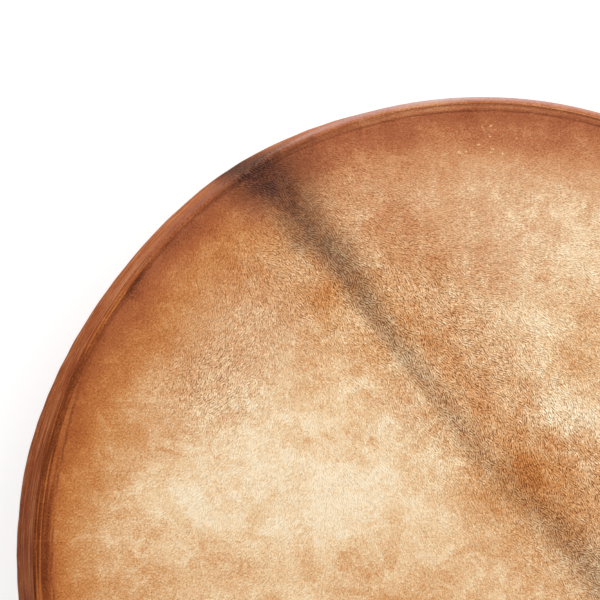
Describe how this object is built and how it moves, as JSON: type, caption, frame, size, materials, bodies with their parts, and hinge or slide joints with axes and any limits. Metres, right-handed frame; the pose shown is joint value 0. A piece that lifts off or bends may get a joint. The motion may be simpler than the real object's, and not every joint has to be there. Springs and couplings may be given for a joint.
{
  "type": "shaman drum",
  "caption": "Round frame drum with a rawhide head shrunk over a bent wood hoop, laced at the back to a leather covered grip ring.",
  "frame": {"origin": "middle of the circle that the drum's flat back edge rests on", "axes": "+Z is the way the head faces, square to it; +X is to the right and +Y is up when the drum is held as in the picture"},
  "size_m": [0.5, 0.5, 0.065],
  "materials": {
    "rawhide": "mottled rawhide, half matt",
    "rawhide_lace": "pale rawhide lace",
    "ash_wood": "bent ash, oiled",
    "brown_leather": "matt brown leather",
    "steel": "plain wire"
  },
  "bodies": {
    "root": {"head": "rawhide", "hoop_outer_ply": "ash_wood", "hoop_middle_ply": "ash_wood", "hoop_inner_ply": "ash_wood", "lacing": "rawhide_lace", "lace_knot": "rawhide_lace", "grip_ring": "steel", "ring_wrap": "brown_leather", "arm_sleeve_1": "brown_leather", "arm_sleeve_2": "brown_leather", "arm_sleeve_3": "brown_leather", "arm_sleeve_4": "brown_leather"}
  },
  "joints": []
}
